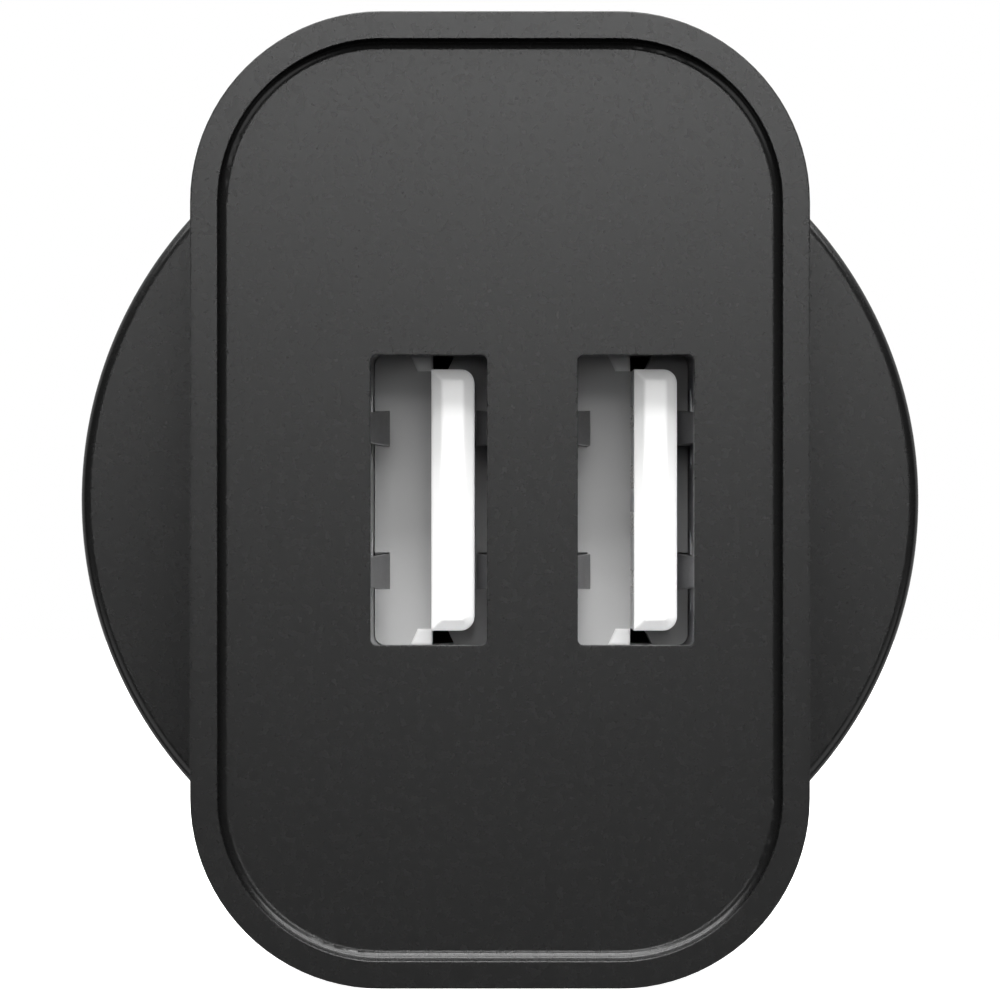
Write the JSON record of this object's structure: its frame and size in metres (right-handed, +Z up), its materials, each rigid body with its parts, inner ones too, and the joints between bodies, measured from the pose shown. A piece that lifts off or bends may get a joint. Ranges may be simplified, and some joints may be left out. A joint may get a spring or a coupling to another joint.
{
  "type": "usb wall charger",
  "caption": "Compact mains charger: upright rounded block with a recessed face and two USB-A sockets, on a round plug body with two solid pins.",
  "frame": {"origin": "centre of the plug face, midway between the two contact pins", "axes": "+X to the right as seen from the socket side, +Y into the wall along the pins, +Z up along the long side of the block"},
  "size_m": [0.0376, 0.06, 0.041],
  "materials": {
    "black_housing": "fine satin moulded polycarbonate, dark grey-black",
    "retainer_plastic": "plain moulded",
    "nickel_pins": "nickel-plated brass, satin",
    "brass_strip": "rolled strip",
    "socket_steel": "tin-plated folded steel",
    "socket_insulator": "moulded grey thermoplastic",
    "tongue_plastic": "smooth white thermoplastic",
    "contact_plating": "nickel-plated spring bronze, satin",
    "board": "green solder mask",
    "solder": "bright tin",
    "ferrite": "fired ferrite, fine grain",
    "bobbin_plastic": "phenolic moulding",
    "copper_wire": "enamelled copper",
    "yellow_tape": "polyester film tape",
    "capacitor_can": "shrink sleeve",
    "blue_ceramic": "dipped epoxy coat",
    "resistor_body": "flameproof lacquer",
    "chip_epoxy": "moulded epoxy",
    "chip_resistor": "glazed",
    "chip_ceramic": "fired ceramic",
    "insulation_film": "vulcanised fibre sheet"
  },
  "bodies": {
    "root": {"front_shell": "black_housing", "rear_shell": "black_housing", "pin_retainer": "retainer_plastic", "contact_pin_left": "nickel_pins", "contact_pin_right": "nickel_pins", "contact_strip_left": "brass_strip", "contact_strip_right": "brass_strip", "usb_shell_left": "socket_steel", "usb_shell_right": "socket_steel", "usb_insulator": "socket_insulator", "usb_tongue_left": "tongue_plastic", "usb_tongue_right": "tongue_plastic", "usb_contacts_left": "contact_plating", "usb_contacts_right": "contact_plating", "main_board": "board", "solder_joints": "solder", "transformer_core_front": "ferrite", "transformer_core_rear": "ferrite", "input_choke_core": "ferrite", "transformer_bobbin": "bobbin_plastic", "primary_winding": "copper_wire", "secondary_winding": "copper_wire", "input_choke_winding": "copper_wire", "winding_tape": "yellow_tape", "core_tape": "yellow_tape", "bulk_capacitor_1": "capacitor_can", "bulk_capacitor_2": "capacitor_can", "output_capacitor_1": "capacitor_can", "output_capacitor_2": "capacitor_can", "y_capacitor": "blue_ceramic", "fuse_resistor": "resistor_body", "bridge_rectifier": "chip_epoxy", "controller_ic": "chip_epoxy", "sync_rectifier_ic": "chip_epoxy", "port_control_ic": "chip_epoxy", "chip_resistors": "chip_resistor", "chip_capacitors": "chip_ceramic", "insulation_sheet": "insulation_film"}
  },
  "joints": []
}
